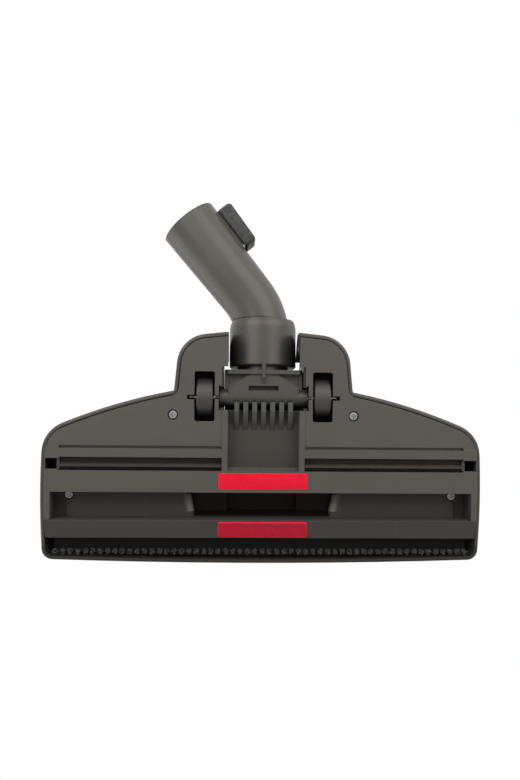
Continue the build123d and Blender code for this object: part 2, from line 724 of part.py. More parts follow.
# Neck yoke: barrel, drum, flange, ribs and swivel collar in one moulding
with BuildPart() as neck_yoke:
    with BuildSketch(Plane.YZ):
        with BuildLine():
            hood_start = on_drum(drum_r, 75)
            hood_end = on_drum(drum_r, 123)
            ThreePointArc(hood_start, on_drum(drum_r, 99), hood_end)
            Polyline(hood_end, on_axle(-5.4, 4.4), on_axle(0, -3), on_axle(flange_s, -3.2),
                     on_axle(flange_s, flange_top), hood_start)
        make_face()
    extrude(amount=drum_half, both=True)
    with BuildSketch(Plane.YZ):
        with BuildLine():
            roof_start = on_drum(drum_r - drum_wall, 75)
            roof_end = on_drum(drum_r - drum_wall, 130)
            ThreePointArc(roof_start, on_drum(drum_r - drum_wall, 99), roof_end)
            Polyline(roof_end, on_axle(-30, 24), on_axle(-30, 4), on_axle(0, 4.5), on_axle(5, 4),
                     on_axle(flange_s, -1), on_axle(flange_s, 31), roof_start)
        make_face()
    extrude(amount=drum_half - drum_wall, both=True, mode=Mode.SUBTRACT)
    # flange behind the drum, then the short round neck and the collar
    with BuildSketch(collar_plane.offset(flange_s)):
        with Locations((0, neck_rise - (flange_top + flange_bottom) / 2)):
            RectangleRounded(2 * drum_half, flange_top - flange_bottom, 3)
    extrude(amount=flange_thick)
    with BuildSketch(collar_plane.offset(flange_s)):
        Circle(neck_bore_r + neck_wall)
    extrude(amount=collar_start + 3 - flange_s)
    with BuildSketch(collar_deck):
        with BuildLine():
            taper_start = (collar_r, collar_end - collar_taper[1])
            taper_end = (collar_r - collar_taper[0], collar_end)
            TangentArc(taper_start, taper_end, tangent=(0, 1))
            Polyline(taper_end, (0, collar_end), (0, collar_start), (collar_r - 0.8, collar_start),
                     (collar_r, collar_start + 0.8), taper_start)
        make_face()
    revolve(axis=Axis(collar_foot, neck_axis))
    # barrel on the axle
    with BuildSketch(axle_line):
        Circle(barrel_r)
    extrude(amount=barrel_half, both=True)
    # trapezoid stiffener level with the barrel, its slot, and a pocket outside each slanted edge
    stiffener = neck_deck.offset(-barrel_r)
    with BuildSketch(stiffener):
        Polygon(*mirrored(stiffener_plan), align=None)
    extrude(amount=stiffener_thick)
    with BuildSketch(stiffener):
        with Locations((0, stiffener_slot_s)):
            Rectangle(*stiffener_slot)
    extrude(amount=stiffener_slot_deep, mode=Mode.SUBTRACT)
    with BuildSketch(stiffener):
        for side in (1, -1):
            Polygon(*[(side * x, s) for x, s in neck_pocket], align=None)
    extrude(amount=neck_pocket_deep, mode=Mode.SUBTRACT)
    # rib from the stiffener to the collar
    with BuildSketch(Plane.YZ):
        with BuildLine():
            rib_h = flange_bottom - neck_rib_proud
            Polyline(on_axle(neck_rib_s[0], -barrel_r), on_axle(neck_rib_s[1], rib_h),
                     on_axle(collar_start + 1, rib_h), on_axle(collar_start + 1, 0),
                     on_axle(neck_rib_s[0], -2), close=True)
        make_face()
    extrude(amount=neck_rib_thick / 2, both=True)
    # bores: pin holes, air passage, swivel bore with the groove of the retaining ring
    with BuildSketch(axle_line):
        Circle(pin_r + running)
    extrude(amount=barrel_half + 1, both=True, mode=Mode.SUBTRACT)
    with BuildSketch(collar_plane.offset(flange_s - 1)):
        Circle(neck_bore_r)
    extrude(amount=collar_start, mode=Mode.SUBTRACT)
    swivel_bore = collar_end - collar_start - 3
    for start, length, radius in (
        (collar_start + 3, swivel_bore, collar_bore_r),
        (ring_s, ring_thick, ring_groove_r),
    ):
        with BuildSketch(collar_plane.offset(start)):
            Circle(radius)
        extrude(amount=length, mode=Mode.SUBTRACT)

neck_yoke.part.label = "neck_yoke"
export_step(neck_yoke.part, "parts/neck_yoke.step")

with BuildPart() as swivel_ring:
    with BuildSketch(collar_plane.offset(ring_s + 0.05)):
        Circle(ring_groove_r - 0.05)
        Circle(spigot_r + 0.2, mode=Mode.SUBTRACT)
        # gap that lets the ring spring open
        with Locations((0, -collar_bore_r)):
            Rectangle(6, 6, mode=Mode.SUBTRACT)
    extrude(amount=ring_thick - 0.1)

swivel_ring.part.label = "swivel_ring"
export_step(swivel_ring.part, "parts/swivel_ring.step")


# Elbow tube: spigot in the collar, bend, tapered socket and latch seat
bend_start = vertex_s - bend_r * tan(radians(bend_deg / 2))
with BuildPart() as elbow_tube:
    with BuildLine(collar_deck) as bend_path:
        JernArc((0, bend_start), (0, 1), bend_r, -bend_deg)
    with BuildSketch(Plane(origin=bend_path.line @ 0, z_dir=bend_path.line % 0)):
        Circle(elbow_r)
    sweep(path=bend_path.line)
    # inside the collar the bent outside keeps clear of the bore
    with BuildSketch(collar_plane.offset(collar_end + shoulder_gap)):
        Circle(tall)
        Circle(spigot_r, mode=Mode.SUBTRACT)
    extrude(amount=-tall, mode=Mode.SUBTRACT)
    tube_way = bend_path.line % 1
    straight = vertex_to_mouth - bend_r * tan(radians(bend_deg / 2))
    mouth_plane = Plane(
        origin=bend_path.line @ 1 + tube_way * straight,
        x_dir=tube_way.cross(Vector(neck_up)) * -1,
        z_dir=tube_way,
    )
    with Locations(mouth_plane.offset(-straight)):
        Cone(elbow_r, mouth_r, straight, align=(Align.CENTER, Align.CENTER, Align.MIN))
    # spigot and land turned about the collar's axis
    spigot_end = collar_end - spigot_short
    with BuildSketch(collar_deck):
        with BuildLine():
            Polyline((0, land_start), (land_r, land_start), (land_r, seal_s), (seal_r, seal_s),
                     (seal_r, seal_s + seal_wide), (land_r, seal_s + seal_wide), (land_r, ring_s - 0.2),
                     (spigot_r, ring_s - 0.2), (spigot_r, spigot_end), (0, spigot_end), close=True)
        make_face()
    revolve(axis=Axis(collar_foot, neck_axis))
    # latch seat on the outer side of the bend
    latch_side = Plane(origin=mouth_plane.origin, x_dir=mouth_plane.x_dir, z_dir=mouth_plane.y_dir * -1)
    with BuildSketch(latch_side):
        Polygon(*latch_seat, align=None)
    extrude(amount=latch_seat_half, both=True)
    # bend bore, then the wand socket with its stop
    with BuildLine(collar_deck) as air_path:
        air_lead = Line((0, 20), (0, bend_start))
        air_bend = JernArc(air_lead @ 1, (0, 1), bend_r, -bend_deg)
        Line(air_bend @ 1, air_bend @ 1 + tube_way * (straight - socket_depth + 5))
    with BuildSketch(Plane(origin=air_path.line @ 0, z_dir=air_path.line % 0)):
        Circle(neck_bore_r)
    sweep(path=air_path.line, mode=Mode.SUBTRACT)
    with BuildSketch(mouth_plane.offset(-socket_depth)):
        Circle(socket_r)
    extrude(amount=socket_depth + 1, mode=Mode.SUBTRACT)
    # pocket for the latch, the window of its nose and the pin hole
    for start, span, half, floor in (
        (-34, 23.8, latch_body_half + 0.4, 19.4),
        (-15.1, 4.2, latch_nose_half + 0.4, 16),
    ):
        with BuildSketch(mouth_plane.offset(start)):
            with Locations((floor, 0)):
                Rectangle(10, 2 * half, align=(Align.MIN, Align.CENTER))
        extrude(amount=span, mode=Mode.SUBTRACT)
    with BuildSketch(latch_side):
        with Locations(latch_axis):
            Circle(latch_pin_r + press)
    extrude(amount=latch_seat_half, both=True, mode=Mode.SUBTRACT)

elbow_tube.part.label = "elbow_tube"
export_step(elbow_tube.part, "parts/elbow_tube.step")

with BuildPart() as swivel_seal:
    with BuildSketch(collar_plane.offset(seal_s + 0.1)):
        Circle(land_r - 0.05)
        Circle(seal_r + press, mode=Mode.SUBTRACT)
    extrude(amount=seal_wide - 0.2)

swivel_seal.part.label = "swivel_seal"
export_step(swivel_seal.part, "parts/swivel_seal.step")


# Latch on the socket: a rocking cap with a nose, its pin and its leaf spring
with BuildPart() as latch_lever:
    with BuildSketch(latch_side):
        Polygon(*latch_cap, align=None)
    extrude(amount=latch_half, both=True)
    outwards = Axis(mouth_plane.origin, mouth_plane.x_dir)
    fillet(latch_lever.faces().sort_by(outwards)[-1].edges(), latch_edge_r)
    # room over the seat and round the tube
    with BuildSketch(latch_side):
        near, far = latch_room_ends
        Polygon((0, near), (latch_room, near), (latch_room, far), (0, far), align=None)
    extrude(amount=latch_seat_half + 0.4, both=True, mode=Mode.SUBTRACT)
    with BuildSketch(mouth_plane):
        Circle(latch_clear_r)
    extrude(amount=tall, both=True, mode=Mode.SUBTRACT)
    with BuildSketch(latch_side):
        Polygon(*latch_body, align=None)
    extrude(amount=latch_body_half, both=True)
    with BuildSketch(latch_side):
        Polygon(*latch_nose, align=None)
    extrude(amount=latch_nose_half, both=True)
    with BuildSketch(latch_side):
        with Locations(latch_axis):
            Circle(latch_pin_r + running)
    extrude(amount=latch_body_half, both=True, mode=Mode.SUBTRACT)

latch_lever.part.label = "latch_lever"
export_step(latch_lever.part, "parts/latch_lever.step")

with BuildPart() as latch_pin:
    with BuildSketch(latch_side):
        with Locations(latch_axis):
            Circle(latch_pin_r)
    extrude(amount=latch_seat_half - 0.1, both=True)

latch_pin.part.label = "latch_pin"
export_step(latch_pin.part, "parts/latch_pin.step")

with BuildPart() as latch_spring:
    with BuildSketch(latch_side):
        Polygon(*latch_leaf, align=None)
    extrude(amount=3, both=True)

latch_spring.part.label = "latch_spring"
export_step(latch_spring.part, "parts/latch_spring.step")


# Brush: carrier that slides behind the front wall, backing strip and tufts
with BuildPart() as brush_carrier:
    with BuildSketch(Plane.XY.offset(brush_z)):
        add(head_plan(wall + 0.8, ears=False))
        with Locations((0, front_bar_y - 1)):
            Rectangle(2 * brush_half_x, tall, align=(Align.CENTER, Align.MAX), mode=Mode.INTERSECT)
    extrude(amount=carrier_thick)
    with BuildSketch(Plane.XY.offset(brush_z)):
        with Locations((0, tuft_y)):
            Rectangle(2 * strip_half_x + 0.2, strip_width + 0.2)
    extrude(amount=strip_bed, mode=Mode.SUBTRACT)
    # tower under the pedal's front end
    with BuildSketch(Plane.XY.offset(brush_z + carrier_thick)):
        with Locations((0, tower_y)):
            Rectangle(22, 4)
    extrude(amount=tower_top - brush_z - carrier_thick)

brush_carrier.part.label = "brush_carrier"
export_step(brush_carrier.part, "parts/brush_carrier.step")

with BuildPart() as bristle_strip:
    with BuildSketch(Plane.XY.offset(brush_z - strip_proud)):
        with Locations((0, tuft_y)):
            Rectangle(2 * strip_half_x, strip_width)
    extrude(amount=strip_proud + strip_bed)

bristle_strip.part.label = "bristle_strip"
export_step(bristle_strip.part, "parts/bristle_strip.step")

# Tufts, the outermost ones apart from the rest
tuft_row = [((i - (tuft_count - 1) / 2) * tuft_pitch, tuft_y) for i in range(tuft_count)]
outermost = tuft_row[:end_tufts] + tuft_row[-end_tufts:]
for name, places in (("bristle_tufts", tuft_row[end_tufts:-end_tufts]), ("end_tufts", outermost)):
    with BuildPart() as tufts:
        with BuildSketch(Plane.XY.offset(brush_z - strip_proud)):
            with Locations(*places):
                RegularPolygon(tuft_r, 6)
        extrude(amount=tuft_tip_z + strip_proud - brush_z)
    tufts.part.label = name
    export_step(tufts.part, f"parts/{name}.step")


# Pedal: rocker in the housing's opening, its pin and its detent spring
with BuildPart() as pedal:
    with BuildSketch(Plane.YZ):
        with BuildLine():
            plate = [
                (pedal_front_y, pedal_front_z),
                (pedal_axis[0], pedal_mid_z),
                (pedal_rear_y, pedal_rear_z),
            ]
            ThreePointArc(*plate)
            Polyline(plate[-1], *[(y, z - pedal_thick) for y, z in reversed(plate)], plate[0])
        make_face()
    extrude(amount=pedal_half_x, both=True)
    fillet(pedal.edges().filter_by(Axis.Z), 2.4)
    fillet(pedal.faces().sort_by(Axis.Z)[-1].edges(), 0.8)
    # hub on the pin with its web, and the nose that reaches over the brush tower
    with BuildSketch(Plane.YZ):
        with Locations(pedal_axis):
            Circle(hub_r)
            Rectangle(5, 7.5, align=(Align.CENTER, Align.MIN))
    extrude(amount=pedal_half_x - 1, both=True)
    with BuildSketch(Plane.YZ):
        with BuildLine():
            Polyline((pedal_front_y + 1, 37), (pedal_front_y, 34.4), (tower_y + 0.2, 26.8),
                     (tower_y - 0.8, tower_top + 0.3), (tower_y + 2, tower_top + 0.3),
                     (pedal_front_y + 2, 31.4), (pedal_front_y + 6, 38), close=True)
        make_face()
    extrude(amount=9, both=True)
    with BuildSketch(Plane.YZ):
        with Locations(pedal_axis):
            Circle(pedal_pin_r + running)
    extrude(amount=tall, both=True, mode=Mode.SUBTRACT)

pedal.part.label = "pedal"
export_step(pedal.part, "parts/pedal.step")

with BuildPart() as pedal_pin:
    with BuildSketch(Plane.YZ):
        with Locations(pedal_axis):
            Circle(pedal_pin_r)
    extrude(amount=pedal_pin_half, both=True)

pedal_pin.part.label = "pedal_pin"
export_step(pedal_pin.part, "parts/pedal_pin.step")

with BuildPart() as pedal_spring:
    with BuildSketch(Plane.YZ):
        with BuildLine():
            Polyline((31, duct_top), (31, duct_top + 0.5), (18.2, duct_top + 0.5), (15.4, duct_top + 3.3),
                     (15.0, duct_top + 3.0), (18, duct_top), close=True)
        make_face()
    extrude(amount=5, both=True)

pedal_spring.part.label = "pedal_spring"
export_step(pedal_spring.part, "parts/pedal_spring.step")


# Screws: pan heads with a cross recess, seen from below
for name, (x, y), seat, length in (
    ("wing_screws", wing_screw, sole_top, 12),
    ("channel_screws", channel_screw, ceiling_z + channel_seat, 4.8),
):
    with BuildPart() as screws:
        with BuildSketch(Plane.XY.offset(seat)):
            with Locations((x, y), (-x, y)):
                Circle(head_r)
        extrude(amount=-head_thick)
        fillet(screws.edges().group_by(Axis.Z)[0], 0.9)
        with BuildSketch(Plane.XY.offset(seat)):
            with Locations((x, y), (-x, y)):
                Circle(screw_r)
        extrude(amount=length)
        with BuildSketch(Plane.XY.offset(seat - head_thick)):
            with Locations((x, y), (-x, y)):
                Rectangle(head_r, screw_r / 2)
                Rectangle(screw_r / 2, head_r)
        extrude(amount=head_thick / 2, mode=Mode.SUBTRACT)
    screws.part.label = name
    export_step(screws.part, f"parts/{name}.step")
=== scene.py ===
import json
import math

import bpy
import numpy as np
from mathutils import Matrix, Vector


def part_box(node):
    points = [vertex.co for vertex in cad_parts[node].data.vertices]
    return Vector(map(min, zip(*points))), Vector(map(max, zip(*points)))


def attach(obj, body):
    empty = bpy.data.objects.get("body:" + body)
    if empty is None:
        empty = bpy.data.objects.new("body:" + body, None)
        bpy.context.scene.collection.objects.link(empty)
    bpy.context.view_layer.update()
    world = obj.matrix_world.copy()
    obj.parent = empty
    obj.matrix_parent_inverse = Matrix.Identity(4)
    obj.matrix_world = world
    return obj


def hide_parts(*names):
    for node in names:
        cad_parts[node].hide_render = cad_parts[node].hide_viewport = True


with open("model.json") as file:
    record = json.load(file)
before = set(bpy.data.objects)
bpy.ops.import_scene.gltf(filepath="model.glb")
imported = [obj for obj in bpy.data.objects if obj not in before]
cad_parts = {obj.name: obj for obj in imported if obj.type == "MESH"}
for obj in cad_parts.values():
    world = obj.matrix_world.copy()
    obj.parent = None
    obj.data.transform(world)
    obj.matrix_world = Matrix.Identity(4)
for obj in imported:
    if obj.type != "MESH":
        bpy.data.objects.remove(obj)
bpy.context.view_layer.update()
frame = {"nodes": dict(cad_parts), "record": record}
mm = 0.001


def named(rows, name):
    return next(row for row in rows if row["name"] == name)


wandSocket = named(frame["record"]["mounts"], "wand_socket")
tubeSwivel = named(frame["record"]["behaviour"]["joints"], "tube_swivel")
latchPress = named(frame["record"]["behaviour"]["joints"], "latch_press")
print("frame loaded:", len(frame["nodes"]), "nodes")


# a socket with plain operators, so that shader maths reads as an expression
class Wire:
    def __init__(self, bench, socket):
        self.bench = bench
        self.socket = socket

    def maths(self, kind, first, second=0):
        return self.bench.add("ShaderNodeMath", {"operation": kind}, {0: first, 1: second})

    def __abs__(self):
        return self.maths("ABSOLUTE", self)

    def __add__(self, other):
        return self.maths("ADD", self, other)

    def __radd__(self, other):
        return self.maths("ADD", other, self)

    def __sub__(self, other):
        return self.maths("SUBTRACT", self, other)

    def __rsub__(self, other):
        return self.maths("SUBTRACT", other, self)

    def __mul__(self, other):
        return self.maths("MULTIPLY", self, other)

    def __rmul__(self, other):
        return self.maths("MULTIPLY", other, self)


# one node tree to work in: add() takes a node's type, its settings, then its sockets' values or links
class Bench:
    def __init__(self, tree):
        self.tree = tree
        tree.nodes.clear()

    def add(self, kind, settings=None, sockets=None, out=0):
        node = self.tree.nodes.new(kind)
        for key, value in (settings or {}).items():
            setattr(node, key, value)
        for key, value in (sockets or {}).items():
            if isinstance(value, Wire):
                self.tree.links.new(value.socket, node.inputs[key])
            else:
                node.inputs[key].default_value = value
        return Wire(self, node.outputs[out]) if node.outputs else node

    def place(self):
        return self.add("ShaderNodeTexCoord", out="Object")        # metres

    def noise(self, place, size, detail=2.0, stretch=(1, 1, 1)):
        spread = self.add("ShaderNodeMapping", {"vector_type": "POINT"},
                          {"Vector": place, "Scale": [s / size for s in stretch]})
        return self.add("ShaderNodeTexNoise", {}, {"Vector": spread, "Scale": 1.0, "Detail": detail})

    def ramp(self, value, low, high):
        return self.add("ShaderNodeMapRange", {"clamp": True, "interpolation_type": "SMOOTHSTEP"},
                        {"Value": value, "From Min": low, "From Max": high})

    def vector(self, kind, first, second=(0, 0, 0), out="Vector"):
        return self.add("ShaderNodeVectorMath", {"operation": kind}, {0: first, 1: second}, out)

    def shaded(self, tint, tone):
        return self.add("ShaderNodeVectorMath", {"operation": "SCALE"}, {0: tint, "Scale": tone})

    def mixed(self, amount, first, second):        # sockets 6, 7 and output 2 are the colour ones
        return self.add("ShaderNodeMix", {"data_type": "RGBA"}, {0: amount, 6: first, 7: second}, out=2)

    def soften(self, radius, samples=4):
        return self.add("ShaderNodeBevel", {"samples": samples}, {"Radius": radius})

    def bump(self, height, depth, normal):
        return self.add("ShaderNodeBump", {},
                        {"Height": height, "Distance": depth, "Strength": 1.0, "Normal": normal})

    def surface(self, sockets):
        shader = self.add("ShaderNodeBsdfPrincipled", {}, sockets)
        self.add("ShaderNodeOutputMaterial", {}, {"Surface": shader})


def newMaterial(name):
    material = bpy.data.materials.new(name)
    material.use_nodes = True
    return material, Bench(material.node_tree)


# camera: under the head and looking up at the sole, neck at the top of the picture
cameraSet = {
    "focal": 666.60,                         # pixels of the 520 x 780 picture
    "longSide": 780,                         # pixels
    "sensor": 36.0,                          # mm, along the long side
    "clipStart": 0.01,
    "yaw": -2.1385,                          # degrees
    "roll": 0.6338,                          # degrees
    "originSeen": (1.7844, 73.6642, 420.0),  # the part's origin from the camera: right, down, ahead, mm
}


def placeCamera(look):
    squareView = Matrix.Diagonal((-1, -1, 1))        # right is -X, down is -Y, ahead is +Z
    turn = (Matrix.Rotation(math.radians(look["roll"]), 3, "Z")
            @ Matrix.Rotation(math.radians(look["yaw"]), 3, "Y")
            @ squareView)
    data = bpy.data.cameras.new("camera")
    data.sensor_width = look["sensor"]
    data.lens = look["focal"] * look["sensor"] / look["longSide"]
    data.clip_start = look["clipStart"]
    camera = bpy.data.objects.new("camera", data)
    bpy.context.scene.collection.objects.link(camera)
    axes = Matrix((turn[0], -turn[1], -turn[2])).transposed().to_4x4()
    seen = Vector(look["originSeen"]) * mm
    camera.matrix_world = Matrix.Translation(-(turn.transposed() @ seen)) @ axes
    bpy.context.scene.camera = camera


placeCamera(cameraSet)
bpy.context.scene.view_settings.view_transform = "Standard"
print("camera placed")


# studio: white surroundings, wide suns from above and from the sides, two softboxes below the head,
# and a pale floor that only the camera sees, and only from above
studioSet = {
    "ambient": 0.25,
    "white": 1.0,
    "suns": {                                # way the light comes from, strength, spread in degrees
        "roofKey": ((-0.45, -0.55, 0.90), 1.5, 50),
        "roofFill": ((0.75, 0.60, 0.55), 0.6, 90),
        "leftFill": ((0.85, -0.50, 0.08), 1.3, 50),
        "rightFill": ((-0.90, 0.40, 0.05), 0.5, 60),
    },
    "softboxes": {                           # place, power
        "leftBox": ((0.40, 0.50, -0.50), 4.6),
        "rightBox": ((-0.38, 0.52, -0.50), 4.2),
    },
    "boxAim": (0, 0.05, 0),
    "boxSide": 0.62,
    "floorTint": (0.86, 0.86, 0.85, 1),
    "floorHalf": 40.0,
    "floorDrop": 0.3 * mm,
}


def buildWorld(look):
    world = bpy.data.worlds.new("studio")
    bpy.context.scene.world = world
    world.use_nodes = True
    bench = Bench(world.node_tree)
    rays = ("Is Camera Ray", "Is Glossy Ray", "Is Transmission Ray")
    camera, glossy, through = [bench.add("ShaderNodeLightPath", out=ray) for ray in rays]
    seen = bench.add("ShaderNodeMath", {"operation": "ADD", "use_clamp": True},
                     {0: camera + glossy, 1: through})
    glow = bench.add("ShaderNodeMapRange", {},
                     {"Value": seen, "To Min": look["ambient"], "To Max": look["white"]})
    sky = bench.add("ShaderNodeBackground", {}, {"Color": (1, 1, 1, 1), "Strength": glow})
    bench.add("ShaderNodeOutputWorld", {}, {"Surface": sky})


def hangLamp(name, kind, way, strength):
    data = bpy.data.lights.new(name, kind)
    data.energy = strength
    lamp = bpy.data.objects.new(name, data)
    bpy.context.scene.collection.objects.link(lamp)
    lamp.rotation_mode = "QUATERNION"
    lamp.rotation_quaternion = Vector(way).to_track_quat("Z", "Y")
    return lamp


def lightStudio(look):
    for name, (way, strength, spread) in look["suns"].items():
        lamp = hangLamp(name, "SUN", way, strength)
        lamp.data.angle = math.radians(spread)
    for name, (place, power) in look["softboxes"].items():
        lamp = hangLamp(name, "AREA", Vector(place) - Vector(look["boxAim"]), power)
        lamp.location = place
        lamp.data.size = look["boxSide"]


def layFloor(look):
    half, level = look["floorHalf"], -look["floorDrop"]
    corners = [(-half, -half, level), (half, -half, level), (half, half, level), (-half, half, level)]
    mesh = bpy.data.meshes.new("floor")
    mesh.from_pydata(corners, [], [(0, 1, 2, 3)])
    material, bench = newMaterial("paleFloor")
    paint = bench.add("ShaderNodeBsdfDiffuse", {}, {"Color": look["floorTint"]})
    clear = bench.add("ShaderNodeBsdfTransparent")
    under = bench.add("ShaderNodeNewGeometry", out="Backfacing")
    oneSided = bench.add("ShaderNodeMixShader", {}, {0: under, 1: paint, 2: clear})
    bench.add("ShaderNodeOutputMaterial", {}, {"Surface": oneSided})
    mesh.materials.append(material)
    floor = bpy.data.objects.new("floor", mesh)
    bpy.context.scene.collection.objects.link(floor)
    for kind in ("shadow", "diffuse", "glossy", "transmission"):
        setattr(floor, "visible_" + kind, False)


buildWorld(studioSet)
lightStudio(studioSet)
layFloor(studioSet)
print("studio lit")


# painted highlight: a pale streak at each end of the mouth, slanting outwards towards the rear and fading
# to its edges and ends
def paintedHighlightTone(bench, across, depth, look):
    off = abs(abs(across) - look["slant"] * depth - look["middle"])
    inside = (1 - bench.ramp(off, 0, look["half"])) * (1 - bench.ramp(abs(depth), *look["ends"]))
    return 1 + look["pale"] * inside


# painted shade in the seam: the tone rises from black to full over a short stretch along the swivel's axis
def paintedSeamShade(bench, place, look):
    along = bench.vector("DOT_PRODUCT", place, look["axis"], out="Value")
    return bench.ramp(along, *look["shadeSpan"])


# painted shade on the latch's seat: from a point along the socket's axis on, what stands proud of a
# slightly tapering round is darkened
def paintedSeatShade(bench, place, look):
    away = bench.vector("SUBTRACT", place, look["foot"])
    off = bench.vector("LENGTH", bench.vector("CROSS_PRODUCT", away, look["axis"]), out="Value")
    along = bench.vector("DOT_PRODUCT", away, look["axis"], out="Value")
    proud = bench.ramp(off - look["taper"] * along, *look["proud"])
    return 1 - look["dark"] * proud * bench.ramp(along, *look["start"])


# moulded plastic: drifting tone, fine spark grain in colour and bump, shiny scuffs, softened edges;
# sunk surfaces, and those ahead of the channel, can take painted shade (a darker tone) and be dull
def mouldedPlastic(name, look):
    material, bench = newMaterial(name)
    place = bench.place()
    across, depth, height = [bench.add("ShaderNodeSeparateXYZ", {}, {0: place}, out=k) for k in "XYZ"]
    # painted shade: sunk surfaces and those ahead of the channel get a darker tone, as well as a rougher
    # surface
    sunk = bench.ramp(height, *look["sunk"]) * look["sunkShadeAndDull"]
    ahead = bench.ramp(-1 * depth, *look["ahead"]) * look["aheadShadeAndDull"]
    dull = bench.add("ShaderNodeMath", {"operation": "MAXIMUM"}, {0: sunk, 1: ahead})
    drift = bench.noise(place, look["driftSize"]) - 0.5
    grain = bench.noise(place, look["grainSize"], detail=3.0)
    scuff = bench.noise(place, look["scuffSize"], detail=4.0, stretch=look["scuffStretch"])
    worn = bench.ramp(scuff, *look["scuffRange"])
    tone = 1 + look["drift"] * drift + look["speck"] * (grain - 0.5) + look["scuff"] * worn
    # painted shade: the tone drops where the dull mask is high
    tone = tone * (1 - look["shadeDarkening"] * dull)
    # painted highlight at both ends of the mouth
    if "highlightStreak" in look:
        tone = tone * paintedHighlightTone(bench, across, depth, look["highlightStreak"])
    # painted shade in the seam above the collar
    if "seam" in look:
        tone = tone * paintedSeamShade(bench, place, look["seam"])
    # painted shade on the latch's seat
    if "seat" in look:
        tone = tone * paintedSeatShade(bench, place, look["seat"])
    rough = look["rough"] + look["roughDrift"] * drift
    bench.surface({
        "Base Color": bench.shaded(look["tint"], tone),
        "Roughness": rough - look["scuffShine"] * worn + look["dullRough"] * dull,
        "Specular IOR Level": look["gloss"],
        "Specular Tint": (*look["glossTint"], 1),
        "Normal": bench.bump(grain, look["grainDepth"], bench.soften(look["edge"])),
    })
    return material


plasticBase = {
    "driftSize": 22 * mm, "drift": 0.16,
    "grainSize": 0.7 * mm, "speck": 0.22, "grainDepth": 0.035 * mm,
    "scuffSize": 9 * mm, "scuffStretch": (1, 0.18, 1), "scuffRange": (0.62, 0.78),
    "scuff": 0.10, "scuffShine": 0.05,
    "rough": 0.42, "roughDrift": 0.12,
    "gloss": 0.50, "glossTint": (1.0, 0.90, 0.81), "edge": 0.35 * mm,
    # sunk and ahead: painted shade (a darker tone) together with a rougher surface
    "sunk": (3 * mm, 8 * mm), "sunkShadeAndDull": 0.0,
    "ahead": (7 * mm, 10 * mm), "aheadShadeAndDull": 0.0,
    "shadeDarkening": 0.8, "dullRough": 0.35,
}
# housing: painted shade ahead of the channel; sole: painted shade on sunk surfaces and ahead of the channel
housingLook = {**plasticBase, "tint": (0.030, 0.027, 0.024), "ahead": (22 * mm, 27 * mm), "aheadShadeAndDull": 1.0}
soleLook = {**plasticBase, "tint": (0.054, 0.049, 0.043), "sunkShadeAndDull": 0.75, "aheadShadeAndDull": 0.75,
            # painted highlight at each end of the mouth
            "highlightStreak": {"middle": 46.3 * mm, "half": 4.8 * mm, "slant": 0.2,
                       "ends": (4.8 * mm, 6.0 * mm), "pale": 8.0}}
# painted shade: a near-black, low-gloss tint for the duct inside the mouth
ductShadeLook = {**plasticBase, "tint": (0.005, 0.005, 0.004), "rough": 0.6, "gloss": 0.15}
wheelLook = {**plasticBase, "tint": (0.024, 0.0235, 0.022), "rough": 0.50, "grainDepth": 0.02 * mm}
neckLook = {**plasticBase, "tint": (0.033, 0.030, 0.027), "rough": 0.40}
tubeLook = {**plasticBase, "tint": (0.080, 0.075, 0.067), "rough": 0.32, "gloss": 0.25,
            # painted shade at the seam by the collar and on the latch's seat
            "seam": {"axis": tubeSwivel["axis"], "shadeSpan": (121.6 * mm, 123.2 * mm)},
            "seat": {"foot": wandSocket["pos_m"], "axis": wandSocket["axis"],
                     "proud": (19.50 * mm, 19.65 * mm), "taper": 0.0222,
                     "start": (-26 * mm, -24 * mm), "dark": 0.95}}
ringLook = {**plasticBase, "tint": (0.40, 0.39, 0.37), "rough": 0.35}
latchLook = {**plasticBase, "tint": (0.064, 0.065, 0.064), "rough": 0.7, "gloss": 0.08,
             "grainSize": 2.0 * mm, "speck": 1.2}
carrierLook = {**plasticBase, "tint": (0.006, 0.006, 0.006), "rough": 0.65, "gloss": 0.13}
pedalLook = {**plasticBase, "tint": (0.034, 0.034, 0.032), "rough": 0.40}


# soft rubber: matt, dusty tone, low gloss
def softRubber(name, look):
    material, bench = newMaterial(name)
    place = bench.place()
    bloom = bench.noise(place, look["bloomSize"], detail=3.0)
    pores = bench.noise(place, look["poreSize"])
    bench.surface({
        "Base Color": bench.shaded(look["tint"], look["clean"] + look["bloom"] * bloom),
        "Roughness": look["rough"] + look["roughBloom"] * (bloom - 0.5),
        "Specular IOR Level": look["gloss"],
        "Normal": bench.bump(pores, look["poreDepth"], bench.soften(look["edge"])),
    })
    return material


rubberBase = {"bloomSize": 6 * mm, "clean": 0.8, "bloom": 0.4, "poreSize": 0.4 * mm, "poreDepth": 0.02 * mm,
              "rough": 0.68, "roughBloom": 0.15, "gloss": 0.3, "edge": 0.2 * mm}
wiperLook = {**rubberBase, "tint": (0.030, 0.024, 0.019)}
sealLook = {**rubberBase, "tint": (0.016, 0.016, 0.016)}


# turned and pressed steel, with fine tool marks and a little tarnish
def turnedSteel(name, look):
    material, bench = newMaterial(name)
    place = bench.place()
    cloud = bench.noise(place, look["tarnishSize"], detail=3.0)
    tarnish = bench.ramp(cloud, *look["tarnishRange"])
    marks = bench.noise(place, look["markSize"], stretch=look["markStretch"])
    rough = look["rough"] + look["tarnishRough"] * tarnish
    bench.surface({
        "Base Color": bench.mixed(tarnish * look["tarnish"], (*look["tint"], 1), (*look["dull"], 1)),
        "Metallic": 1.0,
        "Roughness": rough + look["markRough"] * (marks - 0.5),
        "Normal": bench.bump(marks, look["markDepth"], bench.soften(look["edge"])),
    })
    return material


